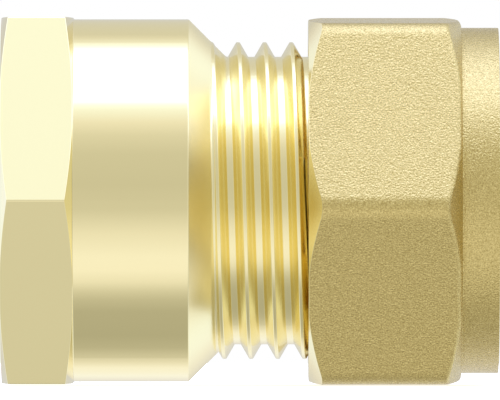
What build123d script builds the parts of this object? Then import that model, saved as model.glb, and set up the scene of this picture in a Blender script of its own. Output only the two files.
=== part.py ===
from build123d import *

import math
import os

# Straight compression union for a 15 mm pipe, with a 1/2 inch female thread at its other end.
# Frame: the pipe axis is X, the mouth of the female thread is at x = 0 and the nut end is at +X.
# +Z is up, square to a flat of the body's hexagon. All sizes are in millimetres.

# --- body, outside ---
body_hex_across_flats = 24.0
body_hex_end = 4.73
body_chamfer_angle = 15.0
body_chamfer_radius = 12.04
barrel_radius = 11.91
barrel_end = 12.28
shoulder_angle = 45.0
shoulder_edge_round = 0.15
hex_barrel_cove = 0.07

# --- screw thread between body and nut: flat crests and roots, right-handed ---
thread_pitch = 1.75
thread_major_radius = 10.407
thread_minor_radius = 9.448
thread_half_angle = 30.0
thread_crest_flat = 0.216
thread_crest_on_top = 17.27
thread_clearance = 0.07
thread_tip_chamfer = 0.7
thread_hidden_start = 12.7

# --- female pipe thread G 1/2 ---
pipe_thread_pitch = 1.814
pipe_thread_major_radius = 10.4775
pipe_thread_minor_radius = 9.3155
pipe_thread_half_angle = 27.5
pipe_thread_start = 0.8
pipe_thread_end = 9.0
pipe_mouth_radius = 10.65
tapping_bore_radius = 9.36
tapping_bore_end = 10.8
drill_point_half_angle = 59.0

# --- waterway and pipe socket of the body ---
waterway_radius = 6.5
socket_radius = 7.55
socket_stop = 14.4
seat_half_angle = 30.0
seat_mouth_radius = 8.85

# --- nut ---
nut_front = 20.14
nut_hex_end = 30.17
nut_end = 32.63
nut_across_flats = 23.69
nut_corner_round = 1.54
nut_turn = 2.07
nut_front_chamfer_angle = 30.0
nut_front_chamfer_radius = 11.89
nut_rear_chamfer_angle = 28.0
nut_rear_chamfer_radius = 11.75
nut_rear_round = 0.4
nut_mouth_radius = 10.55
nut_thread_start = 20.44
nut_thread_end = 26.6
nut_relief_radius = 10.55
nut_relief_end = 28.0
nut_pipe_radius = 7.6
nut_pipe_land = 1.4
nut_pipe_edge = 0.25
collar_radius = 11.35

# --- olive ---
olive_length = 6.2
olive_end_radius = 8.0
olive_middle_radius = 9.05
olive_bore_radius = 7.55
olive_edge_round = 0.15

# --- how far the nut is from tight, and the gap left beside each cone when it is ---
turns_to_tight = 1.0
cone_gap = 0.08

# --- measures that follow from the ones above ---
seat_slope = math.tan(math.radians(seat_half_angle))
nut_cone_end = nut_end - nut_pipe_land
olive_right = nut_cone_end - (olive_end_radius - nut_pipe_radius) / seat_slope - cone_gap
olive_left = olive_right - olive_length
olive_left_when_tight = olive_left - turns_to_tight * thread_pitch
seat_inside_olive = (seat_mouth_radius - olive_end_radius) / seat_slope
body_end = olive_left_when_tight - cone_gap + seat_inside_olive

# Radius of the cutting bars, beyond every part of the union.
REACH = 20.0


def slope(angle):
    """Rise over run of an angle in degrees."""
    return math.tan(math.radians(angle))


def outline(*corners):
    """Closed face of (x, radius) corners in the half plane above the pipe axis."""
    return Plane.XZ * make_face(Polyline(*corners, close=True))


def turned(*corners):
    """Solid of revolution about the pipe axis."""
    return revolve(outline(*corners), axis=Axis.X)


def bar(start, end, radius):
    """Plain round bar on the pipe axis."""
    return turned((start, 0), (start, radius), (end, radius), (end, 0))


def between(solid, start, end):
    """The slice of a solid between two places along the pipe axis."""
    return solid & bar(start, end, REACH)


def threaded_rod(start, end, pitch, crest_x, crest, root):
    """Right-handed threaded rod with flat ends.

    Its section across the axis is a cam, which turns once per pitch. crest and root are
    (radius, half width along the axis) pairs, and one crest lies on top, at crest_x.
    """
    crest_radius, crest_half = crest
    root_radius, root_half = root
    flank_steps = 6

    def cam_point(share):
        radius = crest_radius + (root_radius - crest_radius) * share
        angle = 2 * math.pi * (crest_half + (root_half - crest_half) * share) / pitch
        return (radius * math.cos(angle), radius * math.sin(angle))

    flank = [cam_point(step / flank_steps) for step in range(flank_steps + 1)]
    other_flank = [(x, -y) for x, y in reversed(flank)]
    cam = make_face(
        [
            ThreePointArc(other_flank[-1], (crest_radius, 0), flank[0]),
            Spline(*flank),
            ThreePointArc(flank[-1], (-root_radius, 0), other_flank[0]),
            Spline(*other_flank),
        ]
    )
    turn = 2 * math.pi * (start - crest_x) / pitch
    section = Plane(
        origin=(start, 0, 0), x_dir=(0, -math.sin(turn), math.cos(turn)), z_dir=(1, 0, 0)
    )
    return Solid.extrude_linear_with_rotation(
        (section * cam).face(), (start, 0, 0), (end - start, 0, 0), 360 * (end - start) / pitch
    )


def ridge_half_width(radius):
    """Half the width of one turn of the screw thread, measured along the axis."""
    return thread_crest_flat / 2 + (thread_major_radius - radius) * slope(thread_half_angle)


def male_thread():
    """Threaded bar of the body, with a chamfered tip."""
    rod = threaded_rod(
        thread_hidden_start,
        body_end,
        thread_pitch,
        thread_crest_on_top,
        (thread_major_radius, ridge_half_width(thread_major_radius)),
        (thread_minor_radius, ridge_half_width(thread_minor_radius)),
    )
    past = 1.0
    tip_ring = turned(
        (body_end - thread_tip_chamfer - past, thread_major_radius + past),
        (body_end + past, thread_major_radius + past),
        (body_end + past, thread_major_radius - thread_tip_chamfer - past),
    )
    return rod - tip_ring


def nut_thread():
    """The threaded space in the nut: the body's thread with clearance all round it."""
    side_gap = thread_clearance / math.cos(math.radians(thread_half_angle))
    crest = thread_major_radius + thread_clearance
    root = thread_minor_radius + thread_clearance
    return threaded_rod(
        nut_thread_start,
        nut_thread_end,
        thread_pitch,
        thread_crest_on_top,
        (crest, ridge_half_width(crest) + side_gap),
        (root, ridge_half_width(root) + side_gap),
    )


def pipe_thread():
    """The threaded space of the female pipe thread, as one groove of the thread's form per turn."""
    depth = pipe_thread_major_radius - pipe_thread_minor_radius
    flank_run = depth * slope(pipe_thread_half_angle)
    root_half = (pipe_thread_pitch / 2 - flank_run) / 2
    turns = int((pipe_thread_end - pipe_thread_start) / pipe_thread_pitch)
    corners = [(pipe_thread_start, 0), (pipe_thread_start, pipe_thread_minor_radius)]
    for turn in range(turns):
        centre = pipe_thread_start + (turn + 0.5) * pipe_thread_pitch
        corners += [
            (centre - root_half - flank_run, pipe_thread_minor_radius),
            (centre - root_half, pipe_thread_major_radius),
            (centre + root_half, pipe_thread_major_radius),
            (centre + root_half + flank_run, pipe_thread_minor_radius),
        ]
    corners += [(pipe_thread_end, pipe_thread_minor_radius), (pipe_thread_end, 0)]
    return turned(*corners)


def body_hexagon():
    """Hexagon of the body, with both ends chamfered."""
    prism = extrude(
        Plane.YZ * RegularPolygon(body_hex_across_flats / 2, 6, major_radius=False),
        body_hex_end,
    )
    middle = body_hex_end / 2
    envelope = turned(
        (0, 0),
        (0, body_chamfer_radius),
        (middle, body_chamfer_radius + middle / slope(body_chamfer_angle)),
        (body_hex_end, body_chamfer_radius),
        (body_hex_end, 0),
    )
    return prism & envelope


def body_barrel():
    """Barrel and shoulder of the body, solid to the axis, with a cove beside the hexagon."""
    overlap = 0.3
    shoulder_run = (barrel_radius - thread_minor_radius + overlap) / slope(shoulder_angle)
    profile = outline(
        (body_hex_end / 2, 0),
        (body_hex_end / 2, barrel_radius + hex_barrel_cove),
        (body_hex_end, barrel_radius + hex_barrel_cove),
        (body_hex_end + hex_barrel_cove, barrel_radius),
        (barrel_end, barrel_radius),
        (barrel_end + shoulder_run, thread_minor_radius - overlap),
        (barrel_end + shoulder_run, 0),
    )
    corner = profile.vertices().filter_by_position(
        Axis.X, barrel_end - overlap, barrel_end + overlap
    )
    return revolve(fillet(corner, shoulder_edge_round), axis=Axis.X)


def body():
    """Turned body with its hexagon, barrel, shoulder, two threads and pipe socket."""
    blank = body_hexagon() + body_barrel()
    mouth = between(blank, 0, pipe_thread_start) - bar(0, pipe_thread_start, pipe_mouth_radius)
    threaded = between(blank, pipe_thread_start, pipe_thread_end) - pipe_thread()
    drill_point = (tapping_bore_radius - waterway_radius) / slope(drill_point_half_angle)
    seat_depth = (seat_mouth_radius - socket_radius) / seat_slope
    bores = turned(
        (pipe_thread_end, 0),
        (pipe_thread_end, tapping_bore_radius),
        (tapping_bore_end, tapping_bore_radius),
        (tapping_bore_end + drill_point, waterway_radius),
        (socket_stop, waterway_radius),
        (socket_stop, socket_radius),
        (body_end - seat_depth, socket_radius),
        (body_end, seat_mouth_radius),
        (body_end, 0),
    )
    rest = between(blank, pipe_thread_end, body_end) + male_thread() - bores
    return mouth + threaded + rest


def nut_outside():
    """Hexagon and collar of the nut, solid to the axis."""
    hexagon = RegularPolygon(nut_across_flats / 2, 6, major_radius=False)
    prism = extrude(
        Plane.YZ.offset(nut_front)
        * Rot(0, 0, nut_turn)
        * fillet(hexagon.vertices(), nut_corner_round),
        nut_hex_end - nut_front,
    )
    middle = (nut_front + nut_hex_end) / 2
    envelope = turned(
        (nut_front, 0),
        (nut_front, nut_front_chamfer_radius),
        (middle, nut_front_chamfer_radius + (middle - nut_front) / slope(nut_front_chamfer_angle)),
        (middle, nut_rear_chamfer_radius + (nut_hex_end - middle) / slope(nut_rear_chamfer_angle)),
        (nut_hex_end, nut_rear_chamfer_radius),
        (nut_hex_end, 0),
    )
    blank = prism & envelope
    rear_edges = [
        edge
        for edge in blank.edges()
        if edge.geom_type != GeomType.LINE
        and nut_hex_end - nut_corner_round * 2 < edge.center().X < nut_hex_end - nut_rear_round / 10
    ]
    return fillet(rear_edges, nut_rear_round) + bar(middle, nut_end, collar_radius)


def compression_nut():
    """Forged nut with its collar, thread, pressing cone and pipe hole."""
    blank = nut_outside()
    mouth = between(blank, nut_front, nut_thread_start) - bar(
        nut_front, nut_thread_start, nut_mouth_radius
    )
    threaded = between(blank, nut_thread_start, nut_thread_end) - nut_thread()
    cone_mouth_radius = nut_pipe_radius + (nut_cone_end - nut_relief_end) * seat_slope
    rear = between(blank, nut_thread_end, nut_end) - turned(
        (nut_thread_end, 0),
        (nut_thread_end, nut_relief_radius),
        (nut_relief_end, nut_relief_radius),
        (nut_relief_end, cone_mouth_radius),
        (nut_cone_end, nut_pipe_radius),
        (nut_end - nut_pipe_edge, nut_pipe_radius),
        (nut_end, nut_pipe_radius + nut_pipe_edge),
        (nut_end, 0),
    )
    return mouth + threaded + rear


def olive():
    """Compression ring with a cone at each end."""
    cone_run = (olive_middle_radius - olive_end_radius) / seat_slope
    profile = outline(
        (olive_left, olive_bore_radius),
        (olive_left, olive_end_radius),
        (olive_left + cone_run, olive_middle_radius),
        (olive_right - cone_run, olive_middle_radius),
        (olive_right, olive_end_radius),
        (olive_right, olive_bore_radius),
    )
    shoulders = profile.vertices().filter_by_position(
        Axis.Z, olive_middle_radius - cone_gap, olive_middle_radius + cone_gap
    )
    return revolve(fillet(shoulders, olive_edge_round), axis=Axis.X)


os.makedirs("parts", exist_ok=True)
for name, shape in (
    ("body", body()),
    ("compression_nut", compression_nut()),
    ("olive", olive()),
):
    shape.label = name
    print(name, round(shape.volume, 1), "mm3, valid:", shape.is_valid)
    export_step(shape, f"parts/{name}.step")
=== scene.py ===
import math

import bmesh
import bpy
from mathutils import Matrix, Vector


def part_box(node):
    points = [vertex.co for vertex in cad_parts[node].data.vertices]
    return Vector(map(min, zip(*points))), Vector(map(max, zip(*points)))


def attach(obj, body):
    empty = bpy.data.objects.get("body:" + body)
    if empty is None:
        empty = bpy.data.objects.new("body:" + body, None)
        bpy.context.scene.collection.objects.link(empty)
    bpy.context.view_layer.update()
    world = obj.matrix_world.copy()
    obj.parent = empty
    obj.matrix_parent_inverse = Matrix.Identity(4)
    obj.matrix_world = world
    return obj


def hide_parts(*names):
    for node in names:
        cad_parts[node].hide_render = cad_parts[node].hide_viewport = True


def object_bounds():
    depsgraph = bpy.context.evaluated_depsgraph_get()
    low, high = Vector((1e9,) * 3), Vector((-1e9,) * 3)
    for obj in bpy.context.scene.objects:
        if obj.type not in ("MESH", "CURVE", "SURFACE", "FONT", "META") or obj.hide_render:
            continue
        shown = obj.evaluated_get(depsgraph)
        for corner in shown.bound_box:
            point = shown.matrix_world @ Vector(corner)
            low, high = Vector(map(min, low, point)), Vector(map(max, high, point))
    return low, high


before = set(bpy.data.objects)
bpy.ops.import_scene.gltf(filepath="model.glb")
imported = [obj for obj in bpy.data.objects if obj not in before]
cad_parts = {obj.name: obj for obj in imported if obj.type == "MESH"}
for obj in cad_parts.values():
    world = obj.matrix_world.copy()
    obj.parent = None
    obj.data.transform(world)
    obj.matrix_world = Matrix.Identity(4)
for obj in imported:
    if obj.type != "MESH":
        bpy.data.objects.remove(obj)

cad_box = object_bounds()

MM = 0.001

# Places along the pipe axis (x) and radii, in millimetres, as in the design. The lengths that
# follow from each other there are read from the boxes of the CAD nodes.
body_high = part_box("body")[1] / MM
nut_low, nut_high = (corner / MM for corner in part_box("compression_nut"))
olive_low, olive_high = (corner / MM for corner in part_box("olive"))

# --- body ---
body_tip = body_high.x
hexagon_end = 4.73
hexagon_first_corner = 30
hexagon_apothem = 12.0
hexagon_chamfer = 15.0
hexagon_chamfer_radius = 12.04
hexagon_edge_round = 0.05
hexagon_corner_round = 0.09
barrel_radius = 11.91
barrel_end = 12.28
barrel_edge_round = 0.15
cove = 0.045
shoulder_slope = 45
thread_pitch = 1.75
thread_crest_radius = 10.407
thread_root_radius = 9.448
thread_crest_flat = 0.216
thread_crest_on_top = 17.27
thread_half_angle = 30.0
tip_chamfer = 0.7
mouth_radius = 10.65
pipe_thread_start = 0.8
pipe_thread_end = 9.0
pipe_thread_pitch = 1.814
pipe_thread_minor_radius = 9.3155
pipe_thread_major_radius = 10.4775
pipe_thread_half_angle = 27.5
tapping_bore_radius = 9.36
tapping_bore_end = 10.8
waterway_start = 12.52
waterway_radius = 6.5
socket_radius = 7.55
socket_stop = 14.4
seat_mouth_radius = 8.85
seat_half_angle = 30
seat_slope = math.tan(math.radians(seat_half_angle))

# --- nut ---
nut_front = nut_low.x
nut_end = nut_high.x
nut_hexagon_end = 30.17
nut_apothem = 11.844
nut_corner_round = 1.54
nut_turn = 2.07
nut_first_corner = hexagon_first_corner + nut_turn
nut_front_chamfer = 30.0
nut_front_chamfer_radius = 11.89
nut_rear_chamfer = 28.0
nut_rear_chamfer_radius = 11.75
nut_front_edge_round = 0.08
nut_rear_edge_round = 0.4
collar_radius = 11.35
collar_root_round = 0.12
collar_edge_round = 0.06
nut_clearance = 0.07
nut_mouth_radius = 10.55
nut_thread_start = 20.44
nut_thread_end = 26.6
nut_relief_radius = 10.55
nut_relief_end = 28.0
nut_pipe_radius = 7.6
nut_pipe_land = 1.4
nut_pipe_edge = 0.25
nut_mouth_edge_round = 0.01

# --- olive ---
olive_end_radius = 8.0
olive_middle_radius = 9.05
olive_bore_radius = 7.55
olive_edge_round = 0.1

# --- edges of all three, and how finely the skins are cut ---
EDGE_ROUND = 0.05
THREAD_ROUND = 0.05
PIPE_THREAD_ROUND = 0.12
ARC_STEPS = 4
SOFT_STEPS = 3
SOFT_SHARE = 0.45
FLANK_PIECES = 4
WIDE_STEP = 1.5
WELD = 0.0002

# Degrees round the pipe axis.
FULL_TURN = 360
HALF_TURN = FULL_TURN // 2
SIDES = 6
SIDE_TURN = FULL_TURN // SIDES
HALF_SIDE_TURN = SIDE_TURN // 2

# Directions in the (x, radius) plane, in degrees.
TO_REAR = 0
OUTWARD = 90
TO_FRONT = 180


# ------------------------------------------------------------- outlines, in millimetres


def arc(centre, radius, start, end):
    """Points of an arc in the (x, radius) plane; degrees run from +x towards the outside."""
    points = []
    for step in range(ARC_STEPS + 1):
        turn = math.radians(start + (end - start) * step / ARC_STEPS)
        points.append((centre[0] + radius * math.cos(turn), centre[1] + radius * math.sin(turn)))
    return points


def soften(corners, radius):
    """The same line with each inner corner rounded off."""
    points = [corners[0]]
    for before, corner, after in zip(corners, corners[1:], corners[2:]):
        back = Vector(before) - Vector(corner)
        on = Vector(after) - Vector(corner)
        reach = min(radius, back.length * SOFT_SHARE, on.length * SOFT_SHARE)
        start = Vector(corner) + back.normalized() * reach
        end = Vector(corner) + on.normalized() * reach
        for step in range(SOFT_STEPS + 1):
            share = step / SOFT_STEPS
            point = start * (1 - share) ** 2 + Vector(corner) * 2 * share * (1 - share)
            point += end * share**2
            points.append(tuple(point))
    points.append(corners[-1])
    return points


def hexagon_radius(angle, first_corner, apothem, corner_round):
    """Radius of a hexagon with rounded corners, at an angle in degrees round the pipe axis."""
    past_middle = (angle - first_corner + HALF_SIDE_TURN) % SIDE_TURN
    from_corner = math.radians(abs(past_middle - HALF_SIDE_TURN))
    half_turn = math.radians(HALF_SIDE_TURN)
    centre = (apothem - corner_round) / math.cos(half_turn)
    arc_side = corner_round * math.sin(half_turn)
    arc_height = centre + corner_round * math.cos(half_turn)
    if from_corner >= math.atan2(arc_side, arc_height):
        return apothem / math.cos(half_turn - from_corner)
    side = centre * math.sin(from_corner)
    return centre * math.cos(from_corner) + math.sqrt(corner_round**2 - side**2)


def chamfered_disc(front, rear, radius, front_chamfer, rear_chamfer):
    """Outside of a disc from front to rear, with every edge rounded.

    A chamfer is (angle in degrees, radius where it starts, edge round). It fades out where the
    disc's radius is smaller than the radius where it starts.
    """
    points = []
    for place, sign, chamfer in ((front, 1, front_chamfer), (rear, -1, rear_chamfer)):
        angle, start_radius, edge = chamfer
        tilt = math.radians(angle)
        inner = start_radius - edge * math.tan(tilt / 2)
        outer = radius - edge
        low = (place + sign * edge, min(inner, outer))
        high = low
        if inner < outer:
            reach = (outer - start_radius) * math.tan(tilt) + edge / math.cos(tilt)
            high = (place + sign * reach, outer)
        if sign > 0:
            points += arc(low, edge, TO_FRONT, TO_FRONT - angle)
            points += arc(high, edge, TO_FRONT - angle, OUTWARD)
        else:
            points += arc(high, edge, OUTWARD, angle)
            points += arc(low, edge, angle, TO_REAR)
    return points


def tooth(pitch, half_angle, crest, root, soft, pieces):
    """One turn of a thread as (distance along the axis, radius), from root to root.

    crest is (radius, half width); root is the root's radius. Each flank is cut into pieces.
    """
    crest_radius, crest_half = crest
    foot = crest_half + abs(crest_radius - root) * math.tan(math.radians(half_angle))
    corners = [
        (-pitch / 2, root),
        (-foot, root),
        (-crest_half, crest_radius),
        (crest_half, crest_radius),
        (foot, root),
        (pitch / 2, root),
    ]
    line = soften(corners, soft)
    points = []
    for start, end in zip(line, line[1:]):
        cuts = pieces if abs(end[1] - start[1]) > abs(crest_radius - root) / 2 else 1
        for cut in range(cuts):
            share = cut / cuts
            points.append(tuple(a + (b - a) * share for a, b in zip(start, end)))
    return points


def radius_along(one_turn, pitch, along):
    """Radius of a thread at a distance along the axis from the middle of a crest."""
    wrapped = (along + pitch / 2) % pitch - pitch / 2
    points = one_turn + [(pitch / 2, one_turn[0][1])]
    for (before, low), (after, high) in zip(points, points[1:]):
        if before <= wrapped <= after and after > before:
            return low + (high - low) * (wrapped - before) / (after - before)
    return one_turn[0][1]


def helical(angle, low, high, pitch, crest_on_top, one_turn):
    """Line along a right-handed thread at an angle round the pipe axis, from low to high."""
    points = []
    first = math.floor((low - crest_on_top) / pitch) - 2
    last = math.ceil((high - crest_on_top) / pitch) + 2
    phase = crest_on_top + pitch * angle / FULL_TURN
    low_radius = radius_along(one_turn, pitch, low - phase)
    high_radius = radius_along(one_turn, pitch, high - phase)
    for turn in range(first, last):
        for along, radius in one_turn:
            x = phase + pitch * turn + along
            if x <= low:
                points.append((low, low_radius))
            elif x >= high:
                points.append((high, high_radius))
            else:
                points.append((x, radius))
    return points


# ------------------------------------------------------------- meshes


def column_angles(first_corner, spread, close, apart):
    """Angles round the pipe axis, in degrees.

    They are close together within spread of each hexagon corner, and apart along the flats.
    """
    flat = SIDE_TURN - 2 * spread
    near = round(2 * spread / close)
    far = round(flat / apart)
    gap = flat / far
    angles = []
    for corner in range(SIDES):
        middle = first_corner + SIDE_TURN * corner
        angles += [middle - spread + close * step for step in range(near + 1)]
        angles += [middle + spread + gap * step for step in range(1, far)]
    return sorted(angle % FULL_TURN for angle in angles)


def skin(name, angles, outline_at):
    """Closed skin round the pipe axis: a closed outline at each angle, from +Z towards -Y."""
    turns = angles + [angles[0] + FULL_TURN]
    rows = [outline_at(angle) for angle in turns]
    count = len(rows[0])
    vertices = []
    for angle, row in zip(turns, rows):
        across = -math.sin(math.radians(angle)) * MM
        up = math.cos(math.radians(angle)) * MM
        vertices += [(x * MM, radius * across, radius * up) for x, radius in row]
    faces = []
    for row in range(len(rows) - 1):
        for place in range(count):
            following = (place + 1) % count
            here = row * count
            there = here + count
            faces.append((here + place, there + place, there + following, here + following))
    mesh = bpy.data.meshes.new(name)
    mesh.from_pydata(vertices, [], faces)
    shape = bmesh.new()
    shape.from_mesh(mesh)
    bmesh.ops.remove_doubles(shape, verts=shape.verts, dist=WELD * MM)
    bmesh.ops.dissolve_degenerate(shape, edges=shape.edges, dist=WELD * MM)
    shape.to_mesh(mesh)
    shape.free()
    shade_by_area(mesh)
    piece = bpy.data.objects.new(name, mesh)
    bpy.context.scene.collection.objects.link(piece)
    return piece


def shade_by_area(mesh):
    """Smooth shading in which the big faces beside a rounded edge stay flat."""
    sums = [Vector() for _ in mesh.vertices]
    for face in mesh.polygons:
        face.use_smooth = True
        push = face.normal * face.area
        for corner in face.vertices:
            sums[corner] += push
    mesh.normals_split_custom_set_from_vertices([total.normalized() for total in sums])


# ------------------------------------------------------------- pieces


def body_outline(angle):
    """Section of the body at an angle round the pipe axis."""
    radius = hexagon_radius(angle, hexagon_first_corner, hexagon_apothem, hexagon_corner_round)
    chamfer = (hexagon_chamfer, hexagon_chamfer_radius, hexagon_edge_round)
    outside = chamfered_disc(0, hexagon_end, radius, chamfer, chamfer)
    cove_end = hexagon_end + 3 * cove
    outside += soften(
        [
            (hexagon_end, barrel_radius + cove),
            (hexagon_end + cove, barrel_radius),
            (cove_end, barrel_radius),
        ],
        cove,
    )
    tilt = math.radians(shoulder_slope)
    edge_back = barrel_edge_round * (1 / math.cos(tilt) - math.tan(tilt))
    edge_centre = (barrel_end - edge_back, barrel_radius - barrel_edge_round)
    outside += arc(edge_centre, barrel_edge_round, OUTWARD, shoulder_slope)
    thread_low = barrel_end + 2 * barrel_edge_round
    line = helical(angle, thread_low, body_tip, thread_pitch, thread_crest_on_top, BODY_TOOTH)
    for x, ridge in line:
        shoulder = barrel_radius - (x - barrel_end)
        tip = thread_crest_radius - tip_chamfer + (body_tip - x)
        outside.append((x, min(max(ridge, shoulder), tip)))
    seat_depth = (seat_mouth_radius - socket_radius) / seat_slope
    inside = soften(
        [
            (body_tip, (seat_mouth_radius + thread_root_radius) / 2),
            (body_tip, seat_mouth_radius),
            (body_tip - seat_depth, socket_radius),
            (socket_stop, socket_radius),
            (socket_stop, waterway_radius),
            (waterway_start, waterway_radius),
            (tapping_bore_end, tapping_bore_radius),
            (pipe_thread_end, tapping_bore_radius),
        ],
        EDGE_ROUND,
    )
    groove = helical(
        angle, pipe_thread_start, pipe_thread_end, pipe_thread_pitch, pipe_thread_end, PIPE_TOOTH
    )
    inside += groove[::-1]
    inside += soften(
        [
            (pipe_thread_start, mouth_radius - EDGE_ROUND),
            (pipe_thread_start, mouth_radius),
            (0, mouth_radius),
            (0, mouth_radius + 2 * EDGE_ROUND),
        ],
        EDGE_ROUND,
    )
    return outside + inside


def nut_outline(angle):
    """Section of the nut at an angle round the pipe axis."""
    radius = hexagon_radius(angle, nut_first_corner, nut_apothem, nut_corner_round)
    outside = chamfered_disc(
        nut_front,
        nut_hexagon_end,
        radius,
        (nut_front_chamfer, nut_front_chamfer_radius, nut_front_edge_round),
        (nut_rear_chamfer, nut_rear_chamfer_radius, nut_rear_edge_round),
    )
    cone_end = nut_end - nut_pipe_land
    cone_mouth = nut_pipe_radius + (cone_end - nut_relief_end) * seat_slope
    outside += soften(
        [
            (nut_hexagon_end, collar_radius + collar_root_round),
            (nut_hexagon_end, collar_radius),
            (nut_end, collar_radius),
            (nut_end, nut_pipe_radius + nut_pipe_edge),
            (nut_end - nut_pipe_edge, nut_pipe_radius),
            (cone_end, nut_pipe_radius),
            (nut_relief_end, cone_mouth),
            (nut_relief_end, nut_relief_radius),
            (nut_thread_end, nut_relief_radius),
        ],
        collar_edge_round,
    )
    groove = helical(
        angle, nut_thread_start, nut_thread_end, thread_pitch, thread_crest_on_top, NUT_TOOTH
    )
    outside += groove[::-1]
    outside += soften(
        [
            (nut_thread_start, nut_mouth_radius - nut_mouth_edge_round),
            (nut_thread_start, nut_mouth_radius),
            (nut_front, nut_mouth_radius),
            (nut_front, nut_mouth_radius + 2 * EDGE_ROUND),
        ],
        nut_mouth_edge_round,
    )
    return outside


def olive_outline(_angle):
    """Section of the compression ring, the same all round."""
    run = (olive_middle_radius - olive_end_radius) / seat_slope
    middle = (olive_low.x + olive_high.x) / 2
    seam = middle - run / 4
    corners = [
        (middle, olive_middle_radius),
        (olive_high.x - run, olive_middle_radius),
        (olive_high.x, olive_end_radius),
        (olive_high.x, olive_bore_radius),
        (middle, olive_bore_radius),
        (olive_low.x, olive_bore_radius),
        (olive_low.x, olive_end_radius),
        (olive_low.x + run, olive_middle_radius),
        (seam, olive_middle_radius),
    ]
    return soften(corners, olive_edge_round)


nut_side_gap = nut_clearance / math.cos(math.radians(thread_half_angle))
nut_widening = nut_clearance * math.tan(math.radians(thread_half_angle))
pipe_flank = (pipe_thread_major_radius - pipe_thread_minor_radius) * math.tan(
    math.radians(pipe_thread_half_angle)
)
BODY_TOOTH = tooth(
    thread_pitch,
    thread_half_angle,
    (thread_crest_radius, thread_crest_flat / 2),
    thread_root_radius,
    THREAD_ROUND,
    FLANK_PIECES,
)
NUT_TOOTH = tooth(
    thread_pitch,
    thread_half_angle,
    (thread_crest_radius + nut_clearance, thread_crest_flat / 2 + nut_side_gap - nut_widening),
    thread_root_radius + nut_clearance,
    THREAD_ROUND,
    1,
)
PIPE_TOOTH = tooth(
    pipe_thread_pitch,
    pipe_thread_half_angle,
    (pipe_thread_major_radius, (pipe_thread_pitch / 2 - pipe_flank) / 2),
    pipe_thread_minor_radius,
    PIPE_THREAD_ROUND,
    1,
)


# ------------------------------------------------------------- finishes


BRIGHT_BRASS = (0.95, 0.845, 0.47, 1.0)
FACED_BRASS = (0.86, 0.74, 0.38, 1.0)
OLIVE_BRASS = (0.88, 0.74, 0.38, 1.0)
GRAIN_DARK = (0.475, 0.358, 0.113, 1.0)
GRAIN_LIGHT = (0.855, 0.69, 0.284, 1.0)


def ramp_through(nodes, stops):
    """Colour ramp through (place from 0 to 1, colour) stops."""
    ramp = nodes.new("ShaderNodeValToRGB")
    elements = ramp.color_ramp.elements
    first, *between, last = stops
    elements[0].position = first[0]
    elements[0].color = first[1]
    elements[1].position = last[0]
    elements[1].color = last[1]
    for place, colour in between:
        elements.new(place).color = colour
    return ramp


def principled(name):
    """A new material and its Principled shader."""
    material = bpy.data.materials.new(name)
    material.use_nodes = True
    return material, material.node_tree.nodes["Principled BSDF"]


def metal(name, roughness):
    """A new bare metal and its Principled shader."""
    material, shader = principled(name)
    shader.inputs["Metallic"].default_value = 1.0
    shader.inputs["Roughness"].default_value = roughness
    return material, shader


def plain_metal(name, colour, roughness):
    """A new bare metal of one even colour."""
    material, shader = metal(name, roughness)
    shader.inputs["Base Color"].default_value = colour
    return material


def bump(material, shader, scale, stretch, detail, height, strength):
    """Fine relief from a noise stretched along the axes."""
    nodes = material.node_tree.nodes
    links = material.node_tree.links
    place = nodes.new("ShaderNodeTexCoord")
    stretched = nodes.new("ShaderNodeMapping")
    stretched.inputs["Scale"].default_value = stretch
    noise = nodes.new("ShaderNodeTexNoise")
    noise.inputs["Scale"].default_value = scale
    noise.inputs["Detail"].default_value = detail
    relief = nodes.new("ShaderNodeBump")
    relief.inputs["Strength"].default_value = strength
    relief.inputs["Distance"].default_value = height
    links.new(place.outputs["Object"], stretched.inputs["Vector"])
    links.new(stretched.outputs["Vector"], noise.inputs["Vector"])
    links.new(noise.outputs["Fac"], relief.inputs["Height"])
    links.new(relief.outputs["Normal"], shader.inputs["Normal"])


def turned_brass():
    """Bright turned brass with faint tool lines round the axis."""
    round_the_axis = (1.0, 0.02, 0.02)
    material, shader = metal("turned_brass", roughness=0.06)
    shader.inputs["Base Color"].default_value = BRIGHT_BRASS
    bump(
        material,
        shader,
        scale=9000,
        stretch=round_the_axis,
        detail=2,
        height=0.000002,
        strength=0.25,
    )
    return material


def blasted_brass():
    """Sand-blasted brass: a fine even grain in the relief and in the colour."""
    even = (1.0, 1.0, 1.0)
    colour_scale = 11000
    material, shader = metal("blasted_brass", roughness=0.16)
    bump(material, shader, scale=9000, stretch=even, detail=3, height=0.00006, strength=1.0)
    nodes = material.node_tree.nodes
    links = material.node_tree.links
    place = nodes.new("ShaderNodeTexCoord")
    grain = nodes.new("ShaderNodeTexNoise")
    grain.inputs["Scale"].default_value = colour_scale
    grain.inputs["Detail"].default_value = 1
    tone = ramp_through(nodes, [(0.2, GRAIN_DARK), (0.8, GRAIN_LIGHT)])
    links.new(place.outputs["Object"], grain.inputs["Vector"])
    links.new(grain.outputs["Fac"], tone.inputs["Fac"])
    links.new(tone.outputs["Color"], shader.inputs["Base Color"])
    return material


def shoulder_brass():
    """Brass of the shoulder, duller than the barrel."""
    return plain_metal("shoulder_brass", BRIGHT_BRASS, roughness=0.25)


def thread_brass():
    """Brass of the screw thread, duller than the barrel."""
    return plain_metal("thread_brass", BRIGHT_BRASS, roughness=0.15)


def faced_brass():
    """Machined front of the nut, without the blasted grain."""
    return plain_metal("faced_brass", FACED_BRASS, roughness=0.15)


def olive_brass():
    """Plain soft brass of the compression ring."""
    return plain_metal("olive_brass", OLIVE_BRASS, roughness=0.25)


# ------------------------------------------------------------- build the pieces


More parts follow.
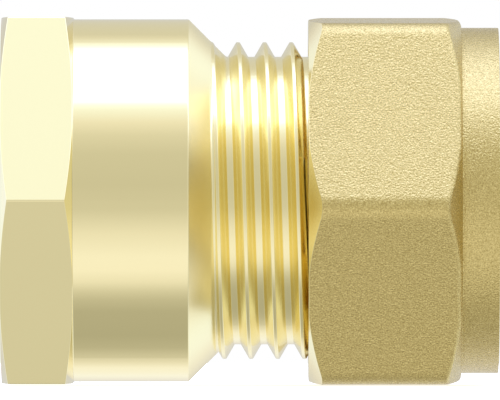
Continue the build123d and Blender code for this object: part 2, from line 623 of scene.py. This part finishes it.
def build_body():
    """Turned body: bright, but duller on the shoulder and the screw thread."""
    angles = column_angles(hexagon_first_corner, spread=0.3, close=0.1, apart=WIDE_STEP)
    turned = skin("turned_body", angles, body_outline)
    turned.data.materials.append(turned_brass())
    turned.data.materials.append(shoulder_brass())
    turned.data.materials.append(thread_brass())
    shoulder_end = barrel_end + barrel_radius - thread_root_radius
    for face in turned.data.polygons:
        x = face.center.x / MM
        radius = math.hypot(face.center.y, face.center.z) / MM
        if radius < seat_mouth_radius + EDGE_ROUND or x < barrel_end:
            continue
        on_shoulder = abs(radius - barrel_radius + x - barrel_end) < EDGE_ROUND / 2
        face.material_index = 1 if on_shoulder and x < shoulder_end else 2
    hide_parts("body")
    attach(turned, "body")


def build_nut():
    """Blasted nut with a machined face and chamfer at its front."""
    front_depth = 2.0
    facing_front = -0.5
    angles = column_angles(nut_first_corner, spread=4.5, close=0.5, apart=WIDE_STEP)
    nut = skin("blasted_nut", angles, nut_outline)
    nut.data.materials.append(blasted_brass())
    nut.data.materials.append(faced_brass())
    for face in nut.data.polygons:
        if face.center.x < (nut_front + front_depth) * MM and face.normal.x < facing_front:
            face.material_index = 1
    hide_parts("compression_nut")
    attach(nut, "nut")


def build_olive():
    """Compression ring inside the nut."""
    step = 3.0
    angles = [step * place for place in range(round(FULL_TURN / step))]
    ring = skin("olive_ring", angles, olive_outline)
    ring.data.materials.append(olive_brass())
    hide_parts("olive")
    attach(ring, "olive")


# ------------------------------------------------------------- studio


# Brightness of the light tent by height round the pipe axis, in degrees: 0 is towards the
# camera, 90 overhead, -90 below, 180 behind.
TENT = (
    (-180, 0.66),
    (-162, 0.88),
    (-150, 1.10),
    (-134, 1.05),
    (-126, 0.86),
    (-118, 0.66),
    (-108, 0.52),
    (-96, 0.47),
    (-75, 0.49),
    (-66, 0.58),
    (-60, 0.70),
    (-53, 0.90),
    (-45, 1.02),
    (-36, 1.03),
    (-21, 0.89),
    (-6, 0.69),
    (10, 0.64),
    (30, 0.67),
    (42, 0.77),
    (51, 0.92),
    (60, 1.24),
    (64, 1.60),
    (69, 3.00),
    (108, 3.00),
    (113, 2.00),
    (119, 1.15),
    (126, 0.82),
    (132, 0.72),
    (162, 0.68),
    (180, 0.66),
)


# Brightness of the tent's two ends, by how squarely a direction points along the pipe axis.
ENDS = (
    (0.40, 1.00),
    (0.50, 1.25),
    (0.65, 1.35),
    (0.77, 1.15),
    (0.84, 1.08),
    (0.90, 0.96),
    (0.95, 0.70),
    (1.00, 0.10),
)
# How much of the end panels shows by height round the pipe axis: all of them behind the union,
# and little in front of it, where the tent's bands run on to the ends.
END_SHARE = (
    (-180, 1.0),
    (-120, 1.0),
    (-85, 0.3),
    (85, 0.3),
    (120, 1.0),
    (180, 1.0),
)
# The bright panels are cool and the dim ones warm.
RED_KEPT = 0.10
RED_GROWTH = 0.15
GREEN_KEPT = 0.50
EVEN_LEVEL = 0.75
BLUE_TREND = 0.28
# Brightest level that the tent's ramps can hold.
TENT_TOP = 3.3
# How squarely a direction points along the pipe axis where the end panels fade in, and where
# nothing else is left.
END_FADE = (0.25, 0.55)
END_ONLY = (0.84, 0.94)

# Sockets of a Mix node that mixes colours.
MIX_FACTOR = 0
MIX_FIRST = 6
MIX_SECOND = 7
MIX_COLOUR = 2


def panel_colour(level):
    """Colour of a tent panel, as a share of the top brightness."""
    over = max(level - 1, 0)
    within = min(level, 1)
    red = within + RED_KEPT * over + RED_GROWTH * over**2
    green = within + GREEN_KEPT * over
    blue = level * (1 + BLUE_TREND * (within - EVEN_LEVEL))
    return (red / TENT_TOP, green / TENT_TOP, blue / TENT_TOP, 1.0)


def level_ramp(nodes, stops):
    """Colour ramp through (place from 0 to 1, brightness) stops."""
    return ramp_through(nodes, [(place, panel_colour(level)) for place, level in stops])


def share_ramp(nodes, stops):
    """Grey ramp through (place from 0 to 1, share) stops."""
    return ramp_through(nodes, [(place, (share, share, share, 1.0)) for place, share in stops])


def by_height(stops):
    """The same stops with their height in degrees as a place from 0 to 1."""
    return [((height + HALF_TURN) / FULL_TURN, value) for height, value in stops]


def smooth_step(nodes, span):
    """Node that rises smoothly from 0 to 1 over a (low, high) span."""
    step = nodes.new("ShaderNodeMapRange")
    step.interpolation_type = "SMOOTHSTEP"
    step.inputs["From Min"].default_value = span[0]
    step.inputs["From Max"].default_value = span[1]
    return step


def math_node(nodes, operation):
    """Math node for one operation."""
    node = nodes.new("ShaderNodeMath")
    node.operation = operation
    return node


def height_round_axis(nodes, links, parts):
    """Height of a direction round the pipe axis, as a place from 0 to 1."""
    towards = math_node(nodes, "MULTIPLY")
    towards.inputs[1].default_value = -1.0
    height = math_node(nodes, "ARCTAN2")
    share = nodes.new("ShaderNodeMapRange")
    share.inputs["From Min"].default_value = -math.pi
    share.inputs["From Max"].default_value = math.pi
    links.new(parts.outputs["Y"], towards.inputs[0])
    links.new(parts.outputs["Z"], height.inputs[0])
    links.new(towards.outputs["Value"], height.inputs[1])
    links.new(height.outputs["Value"], share.inputs["Value"])
    return share.outputs["Result"]


def end_part(nodes, links, height, squareness):
    """How much of the end panels shows in a direction."""
    end_share = share_ramp(nodes, by_height(END_SHARE))
    fade = smooth_step(nodes, END_FADE)
    faded = math_node(nodes, "MULTIPLY")
    only = smooth_step(nodes, END_ONLY)
    part = math_node(nodes, "MAXIMUM")
    links.new(height, end_share.inputs["Fac"])
    links.new(squareness, fade.inputs["Value"])
    links.new(squareness, only.inputs["Value"])
    links.new(fade.outputs["Result"], faded.inputs[0])
    links.new(end_share.outputs["Color"], faded.inputs[1])
    links.new(faded.outputs["Value"], part.inputs[0])
    links.new(only.outputs["Result"], part.inputs[1])
    return part.outputs["Value"]


def tent_colour(nodes, links):
    """Colour of the tent in a direction: its bands round the axis, and its two ends."""
    place = nodes.new("ShaderNodeTexCoord")
    parts = nodes.new("ShaderNodeSeparateXYZ")
    links.new(place.outputs["Generated"], parts.inputs["Vector"])
    height = height_round_axis(nodes, links, parts)
    squareness = math_node(nodes, "ABSOLUTE")
    links.new(parts.outputs["X"], squareness.inputs[0])
    round_axis = level_ramp(nodes, by_height(TENT))
    along_axis = level_ramp(nodes, ENDS)
    blend = nodes.new("ShaderNodeMix")
    blend.data_type = "RGBA"
    part = end_part(nodes, links, height, squareness.outputs["Value"])
    links.new(height, round_axis.inputs["Fac"])
    links.new(squareness.outputs["Value"], along_axis.inputs["Fac"])
    links.new(part, blend.inputs[MIX_FACTOR])
    links.new(round_axis.outputs["Color"], blend.inputs[MIX_FIRST])
    links.new(along_axis.outputs["Color"], blend.inputs[MIX_SECOND])
    return blend.outputs[MIX_COLOUR]


def light_tent():
    """The world: white to the camera, and a soft tent of light to everything else."""
    world = bpy.data.worlds.new("light_tent")
    world.use_nodes = True
    bpy.context.scene.world = world
    nodes = world.node_tree.nodes
    links = world.node_tree.links
    nodes.clear()
    tent = nodes.new("ShaderNodeBackground")
    tent.inputs["Strength"].default_value = TENT_TOP
    backdrop = nodes.new("ShaderNodeBackground")
    backdrop.inputs["Color"].default_value = (1.0, 1.0, 1.0, 1.0)
    seen = nodes.new("ShaderNodeLightPath")
    mix = nodes.new("ShaderNodeMixShader")
    out = nodes.new("ShaderNodeOutputWorld")
    links.new(tent_colour(nodes, links), tent.inputs["Color"])
    links.new(seen.outputs["Is Camera Ray"], mix.inputs["Fac"])
    links.new(tent.outputs["Background"], mix.inputs[1])
    links.new(backdrop.outputs["Background"], mix.inputs[2])
    links.new(mix.outputs["Shader"], out.inputs["Surface"])


def lay_floor():
    """Pale floor just under the lowest point of the union."""
    below = 0.0001
    half = 0.16
    pale = (0.9, 0.9, 0.9, 1.0)
    glow = 0.7
    middle = (cad_box[0] + cad_box[1]) / 2
    level = cad_box[0].z - below
    mesh = bpy.data.meshes.new("floor")
    around = [(-half, -half), (half, -half), (half, half), (-half, half)]
    corners = [(middle.x + x, middle.y + y, level) for x, y in around]
    mesh.from_pydata(corners, [], [(0, 1, 2, 3)])
    floor = bpy.data.objects.new("floor", mesh)
    bpy.context.scene.collection.objects.link(floor)
    material, shader = principled("pale_floor")
    shader.inputs["Base Color"].default_value = pale
    shader.inputs["Roughness"].default_value = 1.0
    shader.inputs["Specular IOR Level"].default_value = 0.0
    shader.inputs["Emission Color"].default_value = (1.0, 1.0, 1.0, 1.0)
    shader.inputs["Emission Strength"].default_value = glow
    mesh.materials.append(material)
    floor.visible_glossy = False


def place_camera():
    """Long lens, level and square to the pipe axis."""
    focal = 1300.0
    sensor = 36.0
    width_seen = 0.03267
    before_axis = 0.007
    along = 0.016316
    above_axis = 0.000035
    nearest = 0.01
    farthest = 10.0
    camera = bpy.data.cameras.new("camera")
    camera.lens = focal
    camera.sensor_width = sensor
    camera.clip_start = nearest
    camera.clip_end = farthest
    holder = bpy.data.objects.new("camera", camera)
    distance = width_seen * focal / sensor + before_axis
    holder.location = (along, -distance, above_axis)
    holder.rotation_euler = (math.radians(90), 0, 0)
    bpy.context.scene.collection.objects.link(holder)
    bpy.context.scene.camera = holder
    bpy.context.scene.view_settings.view_transform = "Standard"


def deepen_reflections():
    """Enough bounces for light to come back out of the thread and the gap at the nut."""
    bounces = 24
    bpy.context.scene.cycles.max_bounces = bounces
    bpy.context.scene.cycles.glossy_bounces = bounces


build_body()
build_nut()
build_olive()
light_tent()
lay_floor()
place_camera()
deepen_reflections()
